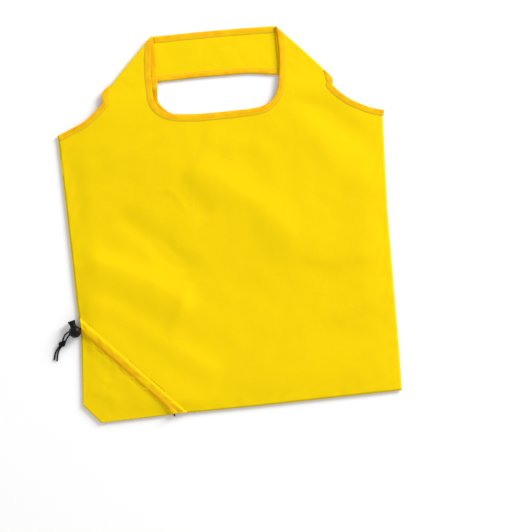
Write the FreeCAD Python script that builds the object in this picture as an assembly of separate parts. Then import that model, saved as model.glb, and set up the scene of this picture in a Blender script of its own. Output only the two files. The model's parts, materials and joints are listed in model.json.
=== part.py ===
import FreeCAD, Part
import math
import os
from FreeCAD import Vector

os.makedirs("parts", exist_ok=True)

# A foldable tote bag lying flat and open, front side up. Millimetres.
# X runs across the bag, Y towards its handles, and Z up from the surface it lies on.

# Outline of the body
shoulder_x = 210.0
shoulder_y = 127.0
waist_right = (204.5, 0.0)
bottom_right = (203.9, -234.0)
bottom_left = (-183.9, -245.0)
clip_top = (-205.4, -220.7)
left_kink = (-200.5, -136.0)
notch_x = 149.0
armhole_mid = (176.8, 141.5)
seam_width = 7.0

# Layers: the fabric is drawn 0.8 thick, and tape folded over an edge stands 0.2 proud of it
cloth = 0.8
proud = 0.2
back_z = 0.0
front_z = 5.8

# Hand hole and tape
hole_half = 79.5
hole_bottom = 139.5
hole_radius = 24.0
tape_width = 8.0

# Handles: each is one wide strap whose middle is folded back behind its two arms
fold_line_y = 165.5
fold_gap = 0.15
ramp_length = 15.0
bump = (148.7, 172.0)
fold_low = (137.2, 185.0)
fold_high = (80.0, 245.0)
strap_inset = 1.4
wall = 1.0
handle_levels = {
    "front": {"base": front_z, "arm": 4.4, "band": 0.25, "inset": 0.0, "inner": 82.0},
    "back": {"base": back_z, "arm": 2.95, "band": 1.6, "inset": strap_inset, "inner": 78.0},
}
band_low = 186.0
band_high = 245.0

# Corner pouch: the drawcord channel runs at about 45 degrees from the side to the bottom
channel_high = ((-202.0, -108.4), (-73.0, -241.2))
channel_low = ((-202.0, -130.3), (-93.0, -242.0))
channel_end_x = -192.0
channel_height = 3.6
cord_bore = 1.3
cord_notch = 3.4
front_channel_z = 4.6
far = 300.0  # past every edge of the bag

# Drawcord and cord lock
cord_radius = 1.0
ball_radius = 7.9
ball_centre = Vector(-208.4, -125.8, ball_radius)
cord_axis = Vector(-0.82, -0.572, 0).normalize()
plunger_axis = Vector(-0.242, 0.970, 0).normalize()
ball_rim = 6.2
bore_floor = -6.0
spring_seat = -7.0
seat_radius = 2.9
shaft_radius = 4.0
running_clearance = 0.05
cord_hole_width = 7.0
cord_hole_height = 5.0
plunger_bottom = -3.2
plunger_slot = (-2.7, 5.2)
flare_start = 9.9
head_top = 14.7
head_radius = 5.1
spring_radius = 2.4
spring_wire = 0.4
spring_turns = 2.75
knot_distance = 23.2
knot_half = (4.4, 3.5, 3.2)


def save(name, shape):
    shape = shape.removeSplitter()
    assert shape.isValid(), name
    shape.exportStep("parts/" + name + ".step")
    print(name, len(shape.Solids), "solid, volume", round(shape.Volume, 1))


def face_of(points):
    corners = [Vector(x, y, 0) for x, y in points]
    return Part.Face(Part.makePolygon(corners + corners[:1]))


def plate(face, low, high):
    lifted = face.copy()
    lifted.translate(Vector(0, 0, low))
    return lifted.extrude(Vector(0, 0, high - low))


def block(x_low, x_high, y_low, y_high, z_low=-50.0, z_high=50.0):
    size = (x_high - x_low, y_high - y_low, z_high - z_low)
    return Part.makeBox(*size, Vector(x_low, y_low, z_low))


def arc_through(a, b, c):
    return Part.Arc(Vector(*a, 0), Vector(*b, 0), Vector(*c, 0))


def flipped(point, side):
    return (point[0] * side, point[1])


# Body outline

def body_face():
    left_shoulder = (-shoulder_x, shoulder_y)
    right_shoulder = (shoulder_x, shoulder_y)
    left_notch = (-notch_x, fold_line_y)
    right_notch = (notch_x, fold_line_y)
    low_edge = [right_shoulder, waist_right, bottom_right, bottom_left]
    low_edge += [clip_top, left_kink, left_shoulder]
    edges = [
        arc_through(left_shoulder, flipped(armhole_mid, -1), left_notch).toShape(),
        Part.makeLine(Vector(*left_notch, 0), Vector(*right_notch, 0)),
        arc_through(right_notch, armhole_mid, right_shoulder).toShape(),
    ]
    for start, end in zip(low_edge, low_edge[1:]):
        edges.append(Part.makeLine(Vector(*start, 0), Vector(*end, 0)))
    return Part.Face(Part.Wire(Part.__sortEdges__(edges)))


def armhole_circle(side):
    arc = arc_through(
        flipped((shoulder_x, shoulder_y), side),
        flipped(armhole_mid, side),
        flipped((notch_x, fold_line_y), side),
    )
    circle = arc.toShape().Curve
    return circle.Center, circle.Radius


def rounded_hole(grow):
    half = hole_half + grow
    radius = hole_radius + grow
    low = hole_bottom - grow
    upper = block(-half, half, low + radius, 300.0)
    lower = block(-half + radius, half - radius, low, 300.0)
    shape = upper.fuse(lower)
    for side in (-1, 1):
        centre = Vector(side * (half - radius), low + radius, -50.0)
        shape = shape.fuse(Part.makeCylinder(radius, 100.0, centre))
    return shape


body = body_face()
body_prism = plate(body, -50.0, 50.0)
below_fold = block(-400, 400, -400, fold_line_y - fold_gap)
tape_ring = rounded_hole(tape_width).cut(rounded_hole(0.0)).common(below_fold)
channel_strip = plate(
    face_of([channel_high[0], channel_high[1], channel_low[1], channel_low[0]]), -50.0, 50.0
)


def corner_below(line):
    """Everything on the pouch's side of a line across the corner."""
    (left_x, left_y), (right_x, right_y) = line
    points = [(left_x, left_y), (right_x, right_y), (right_x, -far), (-far, -far), (-far, left_y)]
    return plate(face_of(points), -50.0, 50.0)


corner = corner_below(channel_high)
pouch_zone = body_prism.common(corner_below(channel_low))


def armhole_band(side):
    centre, radius = armhole_circle(side)
    foot = Vector(centre.x, centre.y, -50.0)
    ring = Part.makeCylinder(radius + tape_width, 100.0, foot)
    ring = ring.cut(Part.makeCylinder(radius, 100.0, foot))
    outer = block(min(side * 300, side * 120), max(side * 300, side * 120), 80, 300)
    return ring.common(outer).common(body_prism).common(below_fold)


armhole_bands = {"left": armhole_band(-1), "right": armhole_band(1)}


def layer(low, high):
    return block(-400, 400, -400, 400, low, high)


def panel(low):
    sheet = body_prism.common(layer(low, low + cloth)).common(below_fold)
    sheet = sheet.cut(rounded_hole(tape_width)).cut(corner)
    for band in armhole_bands.values():
        sheet = sheet.cut(band)
    return sheet


def pouch_panel(low):
    return pouch_zone.common(layer(low, low + cloth))


for name, low in (("front", front_z), ("back", back_z)):
    save(name + "_panel", panel(low))
    save("pouch_" + name + "_panel", pouch_panel(low))
    tape_low = max(low - proud, 0.0)
    tape = layer(tape_low, low + cloth + proud)
    save(name + "_hand_hole_binding", tape_ring.common(tape))
    for side, band in armhole_bands.items():
        save(name + "_" + side + "_armhole_binding", band.common(tape))


# Seams: the sewn allowance inside the bag holds the two panels together

def seam_strip(points):
    low = back_z + cloth
    spots = [Vector(x, y, 0) for x, y in points]
    strip = Part.makeCylinder(seam_width, front_z - low, spots[0] + Vector(0, 0, low))
    for start, end in zip(spots, spots[1:]):
        run = (end - start).normalize()
        side = Vector(-run.y, run.x, 0) * seam_width
        corners = [start + side, end + side, end - side, start - side]
        strip = strip.fuse(plate(face_of([(c.x, c.y) for c in corners]), low, front_z))
        strip = strip.fuse(Part.makeCylinder(seam_width, front_z - low, end + Vector(0, 0, low)))
    return strip.common(body_prism)


left_points = [(-shoulder_x, shoulder_y), left_kink]
right_points = [(shoulder_x, shoulder_y - 1.0), waist_right, (bottom_right[0], bottom_right[1])]
all_armholes = armhole_bands["left"].fuse(armhole_bands["right"])
side_zone = block(-400, 400, bottom_right[1] + seam_width + 1.0, shoulder_y - 2.0)
left_seam = seam_strip(left_points).common(side_zone).cut(corner).cut(all_armholes)
right_seam = seam_strip(right_points).common(side_zone).cut(all_armholes)
bottom_seam = seam_strip([bottom_right, bottom_left]).cut(corner)
pouch_seam = seam_strip([left_kink, clip_top, bottom_left, bottom_right]).common(pouch_zone)
save("left_side_seam", left_seam)
save("right_side_seam", right_seam)
save("bottom_seam", bottom_seam)
save("pouch_seam", pouch_seam)


# Drawcord channels: a sewn hem with the cord inside

def middle(a, b):
    return ((a[0] + b[0]) / 2, (a[1] + b[1]) / 2)


channel_left = Vector(*middle(channel_high[0], channel_low[0]), 0)
channel_right = Vector(*middle(channel_high[1], channel_low[1]), 0)
channel_run = (channel_right - channel_left).normalize()
exit_point = channel_left + channel_run * ((channel_end_x - channel_left.x) / channel_run.x)
turn_point = channel_right - channel_run * 3.0


def channel(low):
    hem = channel_strip.common(body_prism).common(layer(low, low + channel_height))
    hem = hem.common(block(channel_end_x, 400, -400, 400))
    start = channel_left + Vector(0, 0, low + channel_height / 2)
    bore = Part.makeCylinder(cord_bore, 400.0, start, channel_run)
    notch = Part.makeCylinder(cord_notch, 100.0, turn_point + channel_run * 2.0 - Vector(0, 0, 50.0))
    return hem.cut(bore).cut(notch)


save("front_cord_channel", channel(front_channel_z))
save("back_cord_channel", channel(back_z))


# Handles

def arm_sheet(base, flat, low_extra, high_extra):
    y_start = fold_line_y + fold_gap
    y_flat = y_start + ramp_length
    y_end = 260.0
    profile = [
        (y_start, base - low_extra), (y_flat, flat - low_extra), (y_end, flat - low_extra),
        (y_end, flat + high_extra), (y_flat, flat + high_extra), (y_start, base + high_extra),
    ]
    corners = [Vector(-200, y, max(z, 0.0)) for y, z in profile]
    face = Part.Face(Part.makePolygon(corners + corners[:1]))
    return face.extrude(Vector(400, 0, 0))


def fold_edge(inset):
    along = Vector(fold_high[0] - fold_low[0], fold_high[1] - fold_low[1], 0).normalize()
    inward = Vector(-along.y, along.x, 0)
    if inward.x > 0:
        inward = inward * -1
    low = Vector(*fold_low, 0) + inward * inset
    high = Vector(*fold_high, 0) + inward * inset
    return low, high, inward


def inside_fold(inset):
    low, high, inward = fold_edge(inset)
    along = (high - low).normalize()
    far_low = low - along * 100
    far_high = high + along * 100
    points = [far_low, far_high, far_high + inward * 400, far_low + inward * 400]
    return plate(face_of([(p.x, p.y) for p in points]), -50, 50)


def mirrored(shape):
    return shape.mirror(Vector(0, 0, 0), Vector(1, 0, 0))


def arm_region(inset, inner):
    outer_x = notch_x - inset
    region = face_of([
        (inner, fold_line_y), (outer_x, fold_line_y), (bump[0] - inset, bump[1]),
        (fold_low[0] - inset, fold_low[1]), (fold_high[0], fold_high[1]), (inner, fold_high[1]),
    ])
    return plate(region, -50, 50).common(inside_fold(inset))


def fold_wall(inset, inner, low_z, high_z):
    low, high, inward = fold_edge(inset)
    along = (high - low).normalize()
    low = low + along * 2.0
    high = low + along * ((inner + tape_width - low.x) / along.x)
    points = [low, high, high + inward * wall, low + inward * wall]
    return plate(face_of([(p.x, p.y) for p in points]), low_z, high_z)


def band_region(inset):
    reach = inside_fold(inset + wall)
    both = reach.common(mirrored(reach))
    return both.common(block(-200, 200, band_low + inset, band_high - inset))


for name, level in handle_levels.items():
    inset = level["inset"]
    inner = level["inner"]
    fabric = arm_sheet(level["base"], level["arm"], 0.0, cloth)
    tape = arm_sheet(level["base"], level["arm"], proud, cloth + proud)
    region = arm_region(inset, inner)
    tape_zone = block(inner, inner + tape_width, 0, 400)
    arm = region.cut(tape_zone).common(fabric)
    arm = arm.fuse(fold_wall(inset, inner, level["band"], level["arm"] + cloth))
    arm_tape = region.common(tape_zone).common(tape).cut(arm)
    save(name + "_right_arm", arm)
    save(name + "_left_arm", mirrored(arm))
    save(name + "_right_arm_binding", arm_tape)
    save(name + "_left_arm_binding", mirrored(arm_tape))
    strip = band_region(inset)
    low_tape = band_low + inset + tape_width
    high_tape = band_high - inset - tape_width
    tape_layer = layer(max(level["band"] - proud, 0.0), level["band"] + cloth + proud)
    cloth_layer = layer(level["band"], level["band"] + cloth)
    middle_part = strip.common(block(-200, 200, low_tape, high_tape))
    lower_part = strip.common(block(-200, 200, 0, low_tape))
    upper_part = strip.common(block(-200, 200, high_tape, 400))
    save(name + "_handle_band", middle_part.common(cloth_layer))
    save(name + "_band_lower_binding", lower_part.common(tape_layer))
    save(name + "_band_upper_binding", upper_part.common(tape_layer))


# Cords

def tube(points):
    """A round tube along straight runs joined by tangent arcs."""
    spots = [Vector(*p) for p in points]
    edges = []
    start = spots[0]
    radii = []
    for before, here, after in zip(spots, spots[1:], spots[2:]):
        run_in = here - before
        run_out = after - here
        turn = run_in.getAngle(run_out)
        radius = 0.45 * min(run_in.Length, run_out.Length) / math.tan(turn / 2)
        cut = radius * math.tan(turn / 2)
        radii.append(round(radius, 1))
        way_in = Vector(run_in).normalize()
        way_out = Vector(run_out).normalize()
        arc_start = here - way_in * cut
        arc_end = here + way_out * cut
        bisector = (way_out - way_in).normalize()
        centre = here + bisector * (radius / math.cos(turn / 2))
        arc_middle = centre - bisector * radius
        edges.append(Part.LineSegment(start, arc_start).toShape())
        edges.append(Part.Arc(arc_start, arc_middle, arc_end).toShape())
        start = arc_end
    edges.append(Part.LineSegment(start, spots[-1]).toShape())
    path = Part.Wire(edges)
    ring = Part.Wire([Part.Circle(spots[0], spots[1] - spots[0], cord_radius).toShape()])
    solid = path.makePipeShell([ring], True, False)
    share = solid.Volume / (math.pi * cord_radius**2 * path.Length)
    print("arc radii", radii, "length", round(path.Length, 1), "volume share", round(share, 3))
    return solid


def channel_cord():
    high = front_channel_z + channel_height / 2
    low = back_z + channel_height / 2
    radius = (high - low) / 2
    start = exit_point + channel_run * 5.0
    turn = turn_point
    top_start = Vector(start.x, start.y, high)
    top_end = Vector(turn.x, turn.y, high)
    nose = turn + channel_run * radius
    low_start = Vector(turn.x, turn.y, low)
    low_end = Vector(start.x, start.y, low)
    path = Part.Wire([
        Part.LineSegment(top_start, top_end).toShape(),
        Part.Arc(top_end, Vector(nose.x, nose.y, (high + low) / 2), low_start).toShape(),
        Part.LineSegment(low_start, low_end).toShape(),
    ])
    ring = Part.Wire([Part.Circle(top_start, channel_run, cord_radius).toShape()])
    print("channel cord length", round(path.Length, 1))
    return path.makePipeShell([ring], True, False)


save("drawcord_in_channels", channel_cord())

# Free ends: out of the channels, through the lock side by side, through the knot, and down.
front_end = [
    (-188.5, -133.1, 6.4), (-193.0, -128.5, 6.4), (-200.8, -120.5, 9.0),
    (-226.7, -138.55, 9.0), (-233.8, -147.8, 5.0), (-238.2, -159.6, 1.05),
]
back_end = [
    (-188.5, -133.1, 1.8), (-193.0, -128.5, 1.8), (-200.8, -120.5, 6.9),
    (-226.2, -138.2, 6.9), (-231.0, -148.5, 3.6), (-234.4, -161.0, 1.05),
]
save("drawcord_front_end", tube(front_end))
save("drawcord_back_end", tube(back_end))


# Knot and cord lock, built along the cord or the plunger and then turned into place

def placed(shape, x_axis, y_axis, origin):
    z_axis = x_axis.cross(y_axis)
    matrix = FreeCAD.Matrix(
        x_axis.x, y_axis.x, z_axis.x, origin.x,
        x_axis.y, y_axis.y, z_axis.y, origin.y,
        x_axis.z, y_axis.z, z_axis.z, origin.z,
        0, 0, 0, 1,
    )
    moved = shape.copy()
    moved.Placement = FreeCAD.Placement(matrix).multiply(shape.Placement)
    return moved


def knot():
    ball = Part.makeSphere(1.0)
    stretch = FreeCAD.Matrix(knot_half[0], 0, 0, 0, 0, knot_half[1], 0, 0, 0, 0, knot_half[2], 0)
    return ball.transformGeometry(stretch)


up = Vector(0, 0, 1)
side_axis = up.cross(cord_axis)
save("cord_knot", placed(knot(), cord_axis, side_axis, ball_centre + cord_axis * knot_distance))


across = plunger_axis.cross(up)


def cord_hole():
    """An oval hole along the cord, which isn't quite square to the plunger."""
    half = (cord_hole_width - cord_hole_height) / 2
    radius = cord_hole_height / 2
    slot = Part.makeBox(20, 2 * half, cord_hole_height, Vector(-10, -half, -radius))
    for y in (-half, half):
        slot = slot.fuse(Part.makeCylinder(radius, 20, Vector(-10, y, 0), Vector(1, 0, 0)))
    skew = math.degrees(math.atan2(-cord_axis.dot(plunger_axis), -cord_axis.dot(across)))
    slot.rotate(Vector(0, 0, 0), Vector(0, 0, 1), skew)
    return slot


def ball():
    shell = Part.makeSphere(ball_radius)
    shell = shell.cut(Part.makeBox(40, 40, 40, Vector(-20, ball_rim, -20)))
    along = Vector(0, 1, 0)
    bore = Part.makeCylinder(shaft_radius + running_clearance, 20.0, Vector(0, bore_floor, 0), along)
    seat = Part.makeCylinder(seat_radius, 5.0, Vector(0, spring_seat, 0), along)
    return shell.cut(bore).cut(seat).cut(cord_hole())


def plunger():
    along = Vector(0, 1, 0)
    foot = Vector(0, plunger_bottom, 0)
    shaft = Part.makeCylinder(shaft_radius, flare_start - plunger_bottom, foot, along)
    flare_length = head_top - 0.5 - flare_start
    flare = Part.makeCone(shaft_radius, head_radius, flare_length, Vector(0, flare_start, 0), along)
    cap = Part.makeCylinder(head_radius, 0.5, Vector(0, head_top - 0.5, 0), along)
    slot_low, slot_high = plunger_slot
    slot_corner = Vector(-10, slot_low, -cord_hole_height / 2)
    slot = Part.makeBox(20, slot_high - slot_low, cord_hole_height, slot_corner)
    return shaft.fuse(flare).fuse(cap).cut(slot)


def spring():
    room = plunger_bottom - spring_seat - spring_wire - 0.2
    path = Part.makeHelix(room / spring_turns, room, spring_radius)
    section = Part.Circle(Vector(spring_radius, 0, 0), Vector(0, 1, 0), spring_wire / 2)
    ring = Part.Wire([section.toShape()])
    coil = Part.Wire(path).makePipeShell([ring], True, True)
    coil.rotate(Vector(0, 0, 0), Vector(1, 0, 0), -90)
    coil.translate(Vector(0, spring_seat + spring_wire / 2 + 0.1, 0))
    return coil


save("cord_lock_ball", placed(ball(), across, plunger_axis, ball_centre))
save("cord_lock_plunger", placed(plunger(), across, plunger_axis, ball_centre))
save("cord_lock_spring", placed(spring(), across, plunger_axis, ball_centre))
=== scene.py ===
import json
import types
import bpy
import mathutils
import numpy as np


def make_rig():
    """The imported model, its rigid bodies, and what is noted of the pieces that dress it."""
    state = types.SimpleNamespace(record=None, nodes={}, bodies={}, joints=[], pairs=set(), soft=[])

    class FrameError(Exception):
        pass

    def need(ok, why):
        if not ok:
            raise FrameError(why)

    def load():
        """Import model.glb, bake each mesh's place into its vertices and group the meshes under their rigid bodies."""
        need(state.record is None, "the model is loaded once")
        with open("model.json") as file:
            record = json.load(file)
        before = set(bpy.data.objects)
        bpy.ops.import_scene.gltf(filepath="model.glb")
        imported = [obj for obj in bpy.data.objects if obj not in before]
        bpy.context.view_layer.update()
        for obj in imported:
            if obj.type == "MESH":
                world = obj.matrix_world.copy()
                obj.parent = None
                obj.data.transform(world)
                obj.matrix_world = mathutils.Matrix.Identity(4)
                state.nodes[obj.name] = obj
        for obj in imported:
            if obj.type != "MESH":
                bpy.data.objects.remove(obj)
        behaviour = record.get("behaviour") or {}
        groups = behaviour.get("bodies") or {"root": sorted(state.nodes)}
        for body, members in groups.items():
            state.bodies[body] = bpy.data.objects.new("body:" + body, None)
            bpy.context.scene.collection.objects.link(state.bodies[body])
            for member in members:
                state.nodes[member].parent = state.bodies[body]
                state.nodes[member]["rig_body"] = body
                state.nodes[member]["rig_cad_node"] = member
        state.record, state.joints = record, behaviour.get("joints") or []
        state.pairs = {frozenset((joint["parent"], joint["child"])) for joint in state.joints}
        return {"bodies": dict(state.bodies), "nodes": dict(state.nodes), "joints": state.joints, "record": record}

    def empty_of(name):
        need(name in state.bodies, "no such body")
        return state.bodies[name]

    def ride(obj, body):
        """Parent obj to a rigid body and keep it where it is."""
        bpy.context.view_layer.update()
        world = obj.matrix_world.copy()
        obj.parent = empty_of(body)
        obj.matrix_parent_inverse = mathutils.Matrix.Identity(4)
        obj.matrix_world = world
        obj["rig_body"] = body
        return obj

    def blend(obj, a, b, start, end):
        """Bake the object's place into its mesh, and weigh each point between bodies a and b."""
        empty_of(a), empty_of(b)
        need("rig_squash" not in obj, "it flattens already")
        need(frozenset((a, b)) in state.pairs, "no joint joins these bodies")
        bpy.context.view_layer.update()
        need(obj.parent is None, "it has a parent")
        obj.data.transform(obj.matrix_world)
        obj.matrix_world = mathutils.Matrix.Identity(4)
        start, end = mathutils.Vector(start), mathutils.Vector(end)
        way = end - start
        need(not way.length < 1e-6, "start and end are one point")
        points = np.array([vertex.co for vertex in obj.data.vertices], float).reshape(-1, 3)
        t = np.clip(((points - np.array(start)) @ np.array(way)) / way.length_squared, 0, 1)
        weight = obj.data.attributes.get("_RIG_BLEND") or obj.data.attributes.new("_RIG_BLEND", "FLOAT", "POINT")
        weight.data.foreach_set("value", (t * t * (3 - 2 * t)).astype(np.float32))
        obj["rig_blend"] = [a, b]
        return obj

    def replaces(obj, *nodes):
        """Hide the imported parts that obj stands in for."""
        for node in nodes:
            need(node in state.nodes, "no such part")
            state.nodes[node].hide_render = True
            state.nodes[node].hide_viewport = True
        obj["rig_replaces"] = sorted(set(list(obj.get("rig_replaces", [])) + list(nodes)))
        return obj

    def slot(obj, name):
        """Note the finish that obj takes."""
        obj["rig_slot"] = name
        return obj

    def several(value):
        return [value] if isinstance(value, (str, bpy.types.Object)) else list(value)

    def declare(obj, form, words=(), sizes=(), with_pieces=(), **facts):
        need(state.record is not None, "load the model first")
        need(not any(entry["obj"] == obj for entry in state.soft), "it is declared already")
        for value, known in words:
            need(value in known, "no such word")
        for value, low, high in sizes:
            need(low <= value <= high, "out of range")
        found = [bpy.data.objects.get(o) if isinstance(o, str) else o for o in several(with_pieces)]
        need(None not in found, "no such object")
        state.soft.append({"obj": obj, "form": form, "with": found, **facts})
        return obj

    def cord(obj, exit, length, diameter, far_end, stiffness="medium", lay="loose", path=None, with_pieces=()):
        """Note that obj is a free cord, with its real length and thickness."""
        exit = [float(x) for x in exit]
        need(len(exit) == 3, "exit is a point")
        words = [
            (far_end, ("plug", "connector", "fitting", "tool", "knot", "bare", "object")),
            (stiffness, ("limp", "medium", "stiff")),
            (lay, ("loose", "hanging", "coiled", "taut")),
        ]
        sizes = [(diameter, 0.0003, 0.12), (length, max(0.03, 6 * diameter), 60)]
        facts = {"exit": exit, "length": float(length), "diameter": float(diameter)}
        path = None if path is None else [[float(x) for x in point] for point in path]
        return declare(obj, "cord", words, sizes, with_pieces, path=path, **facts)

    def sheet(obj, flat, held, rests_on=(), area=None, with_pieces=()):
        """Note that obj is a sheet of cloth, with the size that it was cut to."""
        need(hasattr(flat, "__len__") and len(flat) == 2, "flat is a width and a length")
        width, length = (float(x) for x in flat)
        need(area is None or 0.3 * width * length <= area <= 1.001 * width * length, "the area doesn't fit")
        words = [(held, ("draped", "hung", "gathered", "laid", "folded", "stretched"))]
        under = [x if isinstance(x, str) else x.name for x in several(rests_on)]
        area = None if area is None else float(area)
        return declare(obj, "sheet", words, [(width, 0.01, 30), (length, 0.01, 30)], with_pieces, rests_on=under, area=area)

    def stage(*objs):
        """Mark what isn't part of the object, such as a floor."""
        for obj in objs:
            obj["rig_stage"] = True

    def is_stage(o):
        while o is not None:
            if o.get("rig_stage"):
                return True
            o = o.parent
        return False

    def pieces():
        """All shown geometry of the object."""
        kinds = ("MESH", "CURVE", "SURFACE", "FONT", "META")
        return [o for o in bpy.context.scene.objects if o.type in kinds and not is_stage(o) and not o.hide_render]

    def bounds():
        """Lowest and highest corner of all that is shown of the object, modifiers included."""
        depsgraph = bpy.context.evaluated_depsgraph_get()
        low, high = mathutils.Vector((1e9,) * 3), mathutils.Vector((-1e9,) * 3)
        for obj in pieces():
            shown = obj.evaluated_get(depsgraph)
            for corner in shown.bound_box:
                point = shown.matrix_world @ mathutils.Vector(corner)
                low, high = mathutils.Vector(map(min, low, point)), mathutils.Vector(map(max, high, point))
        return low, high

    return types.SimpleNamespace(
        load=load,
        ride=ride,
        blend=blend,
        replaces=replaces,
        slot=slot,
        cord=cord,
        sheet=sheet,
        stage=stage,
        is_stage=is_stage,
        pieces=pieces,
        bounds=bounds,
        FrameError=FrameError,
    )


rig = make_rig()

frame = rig.load()
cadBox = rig.bounds()

import bisect
import json
from math import atan2, copysign, cos, exp, hypot, inf, pi, radians, sin

import bmesh
import bpy
from mathutils import Matrix, Vector, noise

mm = 0.001


def say(stage):
    print("stage:", stage)

def addToScene(name, data):
    added = bpy.data.objects.new(name, data)
    bpy.context.scene.collection.objects.link(added)
    return added


# Camera, straight above the flat bag and turned a little

cameraView = dict(
    middle=(42.8 * mm, -61.3 * mm),  # the point of the floor below the camera
    height=5.0,
    across=684 * mm,  # how much of the floor is in view
    turn=radians(-4.6),
    sensor=36.0,
    clipEnd=20.0,
)


def makeCamera():
    data = bpy.data.cameras.new("camera")
    data.sensor_width = cameraView["sensor"]
    data.lens = data.sensor_width * cameraView["height"] / cameraView["across"]
    data.clip_end = cameraView["clipEnd"]
    camera = addToScene("camera", data)
    camera.location = (*cameraView["middle"], cameraView["height"])
    camera.rotation_euler = (0, 0, cameraView["turn"])
    bpy.context.scene.camera = camera


makeCamera()
say("camera")


# Materials. Patterns read Object coordinates in metres, or the piece's own UV map, also in metres.
# Pattern sizes such as slubs or patches are noise cells per metre.

clothLook = dict(
    yellow=(0.845, 0.598, 0.0016, 1),
    shade=(0.805, 0.560, 0.0020, 1),
    roughness=0.72,
    roughnessReach=0.08,
    specular=0.04,
    threads=1.1,  # per millimetre, drawn coarser than the real 4
    weaveBump=0.10,
    slubs=900.0,  # thick spots in the yarn
    slubBump=0.10,
    swells=34.0,  # soft unevenness between the folds
    swellBump=0.20,
    flecks=700.0,
    clouds=9.0,
)

# The hem over the drawcord, with painted shade down its slope and along its crest; its zones are metres down from the
# ridge
hemLook = dict(
    # painted shade: the warm, darker colour of the slope that faces away from the light
    slopeShade=(0.84, 0.445, 0.0055, 1),
    slopeShadeStart=(0.0024, 0.0060),
    slopeShadeEnd=(0.0150, 0.0105),
    crest=(0.70, 0.475, 0.0020, 1),  # painted shade along the top of the ridge, to dim its highlight
    crestShadeEnd=(0.0026, 0.0010),
    # noise cells per metre of the patches in the slope's painted shade
    patches=48.0,
)

# Folded bias tape and its thread; the zones are metres in from the folded edge
tapeLook = dict(
    face=(0.865, 0.505, 0.0028, 1),
    shade=(0.825, 0.395, 0.0045, 1),
    patches=100.0,
    edge=(0.845, 0.530, 0.0022, 1),  # where the tape has fewer layers
    edgeStart=(0.0042, 0.0058),
    sunkShade=(0.74, 0.420, 0.0200, 1),  # painted shade in the line pressed down by the stitches, with some of the thread's colour
    sunkShadeStart=(0.0063, 0.0069),
    sunkShadeEnd=(0.0078, 0.0073),
    threads=1.4,
    weaveBump=0.18,
    sewing=(0.72, 0.420, 0.0300, 1),
    sewingTwist=900.0,
    sewingBump=0.3,
    sewingRoughness=0.6,
    sewingSpecular=0.5,
)

hardLook = dict(
    plastic=(0.0035, 0.0035, 0.0042, 1),
    plasticWorn=(0.009, 0.009, 0.0105, 1),
    cord=(0.0018, 0.0018, 0.0022, 1),
    cordLight=(0.007, 0.007, 0.008, 1),
    steel=(0.55, 0.55, 0.57, 1),
    steelDark=(0.35, 0.35, 0.37, 1),
    wear=240.0,
    roughnessReach=0.07,
    metalSpecular=0.5,
    specular=0.17,
)

bandsPerScale = 3.2  # a wave texture draws this many bands per metre at a scale of 1


def newMaterial(name):
    material = bpy.data.materials.new(name)
    material.use_nodes = True
    tree = material.node_tree
    return material, tree, tree.nodes["Principled BSDF"]


# Feeds a socket with a fixed value or with another node's output
def feed(tree, socket, value):
    if isinstance(value, bpy.types.NodeSocket):
        tree.links.new(value, socket)
    else:
        socket.default_value = value


# A node with its inputs and its own settings given by name
def addNode(tree, kind, **values):
    node = tree.nodes.new(kind)
    for key, value in values.items():
        if key in node.inputs:
            feed(tree, node.inputs[key], value)
        else:
            setattr(node, key, value)
    return node


def coordinates(tree, kind="Object"):
    return tree.nodes.new("ShaderNodeTexCoord").outputs[kind]


def addNoise(tree, vector, scale, detail=2.0):
    return addNode(tree, "ShaderNodeTexNoise", Vector=vector, Scale=scale, Detail=detail).outputs["Fac"]


def addMath(tree, operation, first, second):
    node = addNode(tree, "ShaderNodeMath", operation=operation)
    feed(tree, node.inputs[0], first)
    feed(tree, node.inputs[1], second)
    return node.outputs[0]


def mixColours(tree, factor, first, second):
    mix = addNode(tree, "ShaderNodeMix", data_type="RGBA")
    for index, value in ((0, factor), (6, first), (7, second)):  # 6 and 7 are the colour inputs
        feed(tree, mix.inputs[index], value)
    return mix.outputs[2]


# Maps low..high smoothly on to start..end
def spread(tree, value, low, high, start=0.0, end=1.0):
    node = addNode(tree, "ShaderNodeMapRange", interpolation_type="SMOOTHSTEP", Value=value)
    for name, number in (("From Min", low), ("From Max", high), ("To Min", start), ("To Max", end)):
        node.inputs[name].default_value = number
    return node.outputs["Result"]


def addBump(tree, height, strength, distance, below=None):
    bump = addNode(tree, "ShaderNodeBump", Height=height, Strength=strength, Distance=distance)
    if below is not None:
        feed(tree, bump.inputs["Normal"], below)
    return bump.outputs["Normal"]


# Two crossed sets of fine waves, as warp and weft
def weaveHeight(tree, vector, perMillimetre, kind="MAXIMUM"):
    scale = perMillimetre * 1000 / bandsPerScale
    sets = []
    for direction in ("X", "Y"):
        waves = addNode(tree, "ShaderNodeTexWave", Vector=vector, Scale=scale, Distortion=0.6, Detail=1.0)
        waves.bands_direction = direction
        sets.append(waves.outputs["Fac"])
    return addMath(tree, kind, *sets)


# The distance across a piece, read from its UV map
def acrossPiece(tree):
    return addNode(tree, "ShaderNodeSeparateXYZ", Vector=coordinates(tree, "UV")).outputs["Y"]


# A band across a piece, where it starts and where it ends
def zone(tree, across, starts, ends):
    return addMath(tree, "MULTIPLY", spread(tree, across, *starts), spread(tree, across, *ends))


def finishLook(tree, shader, colour, normal, roughness, specular):
    names = ("Base Color", "Normal", "Roughness", "Specular IOR Level")
    for name, value in zip(names, (colour, normal, roughness, specular)):
        feed(tree, shader.inputs[name], value)


# A roughness that wanders about its middle with a pattern
def roughnessAbout(tree, pattern, middle, reach):
    return spread(tree, pattern, 0.2, 0.8, middle - reach, middle + reach)


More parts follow.
